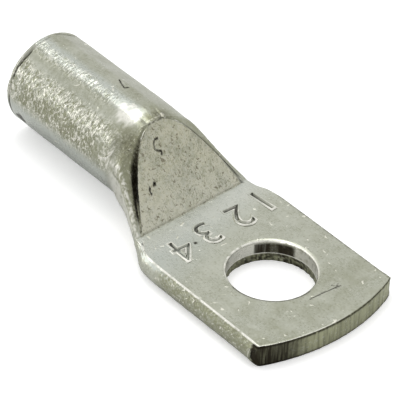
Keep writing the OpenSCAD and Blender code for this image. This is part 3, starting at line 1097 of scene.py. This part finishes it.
    rough = remap(plus(times(clouds, 0.5), times(grain, 0.5)), 0.35, 0.65, 0.24, 0.36)
    rough = plus(rough, times(dirt, 0.16), times(pressed, 0.12), times(sheared, 0.14), times(sunk, 0.3),
                 times(flank, -0.08), times(tarnish, 0.06))
    links.new(rough, shader.inputs["Roughness"])

    # heights in millimetres
    height = times(grain, plus(0.003, times(side, 0.008)))
    height = plus(height, times(scribble, pressed, 0.010))
    height = plus(height, times(tone, 0.004), times(flakes, dirt, 0.03))
    height = plus(height, times(wrinkle, flank, 0.042))
    height = plus(height, times(flakes, plus(times(side, 0.02), times(sheared, 0.008))))
    height = plus(height, times(shearLines, sheared, 0.02))
    height = plus(height, times(pits, -0.008))
    height = plus(height, times(remap(chips, 0.68, 0.75), 0.006))
    bump = addNode(nodes, "Bump", {"Strength": 1, "Distance": mm})
    links.new(height, bump.inputs["Height"])
    links.new(bump.outputs["Normal"], shader.inputs["Normal"])
    return material


lugSkin.data.materials.clear()
lugSkin.data.materials.append(makeTin())
print("material made")

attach(lugSkin, "root")
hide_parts("cable_lug")

# camera, lamps and floor
view = {"turn": 48.043, "lift": 38.015, "roll": 2.834, "distance": 136.941, "right": 3.297, "up": -4.196,
        "lens": 263.24}
lamps = [
    # where the light comes from, the way its width lies, distance, width, height and radiance
    ((-0.34, 0.09, 0.94), (1, 0, 0), 0.16, 0.125, 0.036, 1.25),
    ((-0.22, 0.08, 0.97), (1, 0, 0), 0.16, 0.045, 0.110, 2.6),
    ((-0.82, -0.50, 0.27), (0.6, -0.8, 0), 0.16, 0.080, 0.060, 1.5),
]
lookAt = Vector((-0.006, 0, 0.002))
room = {
    "floorWhite": 0.86,
    "floorGlow": 0.36,                 # what the camera alone sees, to bring the floor to white
    "dimWay": (0.85, -0.5, -0.1),      # the side on which the room is dimmer
    "dimTo": 0.6,
}


def standing(x, y, z, place):
    # a matrix with these axes, at this place
    return Matrix.Translation(place) @ Matrix((x, y, z)).transposed().to_4x4()


def aimCamera():
    turn, lift, roll = (math.radians(view[k]) for k in ("turn", "lift", "roll"))
    back = Vector((math.sin(turn) * math.cos(lift), -math.cos(turn) * math.cos(lift), math.sin(lift)))
    right = Vector((math.cos(turn), math.sin(turn), 0))
    up = back.cross(right)
    r = math.cos(roll) * right + math.sin(roll) * up
    u = -math.sin(roll) * right + math.cos(roll) * up
    place = (back * view["distance"] - r * view["right"] - u * view["up"]) * mm
    data = bpy.data.cameras.new("camera")
    data.sensor_width = 36
    data.lens = view["lens"]
    data.clip_start, data.clip_end = 0.001, 10
    camera = addObject("camera", data)
    camera.matrix_world = standing(r, u, back, place)
    bpy.context.scene.camera = camera


def addLamps():
    for k, (aim, along, distance, wide, high, radiance) in enumerate(lamps):
        data = bpy.data.lights.new("lamp" + str(k), "AREA")
        data.shape = "RECTANGLE"
        data.size, data.size_y = wide, high
        data.energy = radiance * math.pi * wide * high
        z = Vector(aim).normalized()
        x = (Vector(along) - z * z.dot(Vector(along))).normalized()
        addObject("lamp" + str(k), data).matrix_world = standing(x, z.cross(x), z, lookAt + z * distance)


def addFloor():
    bpy.ops.object.select_all(action="DESELECT")
    bpy.ops.mesh.primitive_plane_add(size=3, location=(0, 0, -0.01 * mm))
    floor = bpy.context.object
    floor.name = "floor"
    material = bpy.data.materials.new("paleFloor")
    material.use_nodes = True
    nodes, links = material.node_tree.nodes, material.node_tree.links
    base, white = nodes["Principled BSDF"], room["floorWhite"]
    base.inputs["Base Color"].default_value = (white, white, white, 1)
    base.inputs["Roughness"].default_value = 1
    base.inputs["Specular IOR Level"].default_value = 0
    glow = addNode(nodes, "Emission", {"Color": (1, 1, 1, 1)})
    path = addNode(nodes, "LightPath")
    lit = addNode(nodes, "Math", {1: room["floorGlow"]}, operation="MULTIPLY")
    links.new(path.outputs["Is Camera Ray"], lit.inputs[0])
    links.new(lit.outputs[0], glow.inputs["Strength"])
    both = addNode(nodes, "AddShader")
    links.new(base.outputs[0], both.inputs[0])
    links.new(glow.outputs[0], both.inputs[1])
    links.new(both.outputs[0], nodes["Material Output"].inputs["Surface"])
    floor.data.materials.append(material)


def makeWorld():
    # a white room, a little dimmer on the side of +X and -Y
    world = bpy.data.worlds.new("world")
    bpy.context.scene.world = world
    world.use_nodes = True
    nodes, links = world.node_tree.nodes, world.node_tree.links
    back = nodes["Background"]
    back.inputs["Color"].default_value = (1, 1, 1, 1)
    place = addNode(nodes, "TexCoord")
    toward = addNode(nodes, "VectorMath", {1: room["dimWay"]}, operation="DOT_PRODUCT")
    links.new(place.outputs["Generated"], toward.inputs[0])
    ends = {"From Min": -0.1, "From Max": 0.9, "To Min": 1.0, "To Max": room["dimTo"]}
    fall = addNode(nodes, "MapRange", ends)
    links.new(toward.outputs["Value"], fall.inputs["Value"])
    path = addNode(nodes, "LightPath")
    keep = addNode(nodes, "Math", operation="MAXIMUM")
    links.new(fall.outputs["Result"], keep.inputs[0])
    links.new(path.outputs["Is Camera Ray"], keep.inputs[1])
    links.new(keep.outputs[0], back.inputs["Strength"])


aimCamera()
addLamps()
addFloor()
makeWorld()
bpy.context.scene.view_settings.view_transform = "Standard"
print("stage ready")
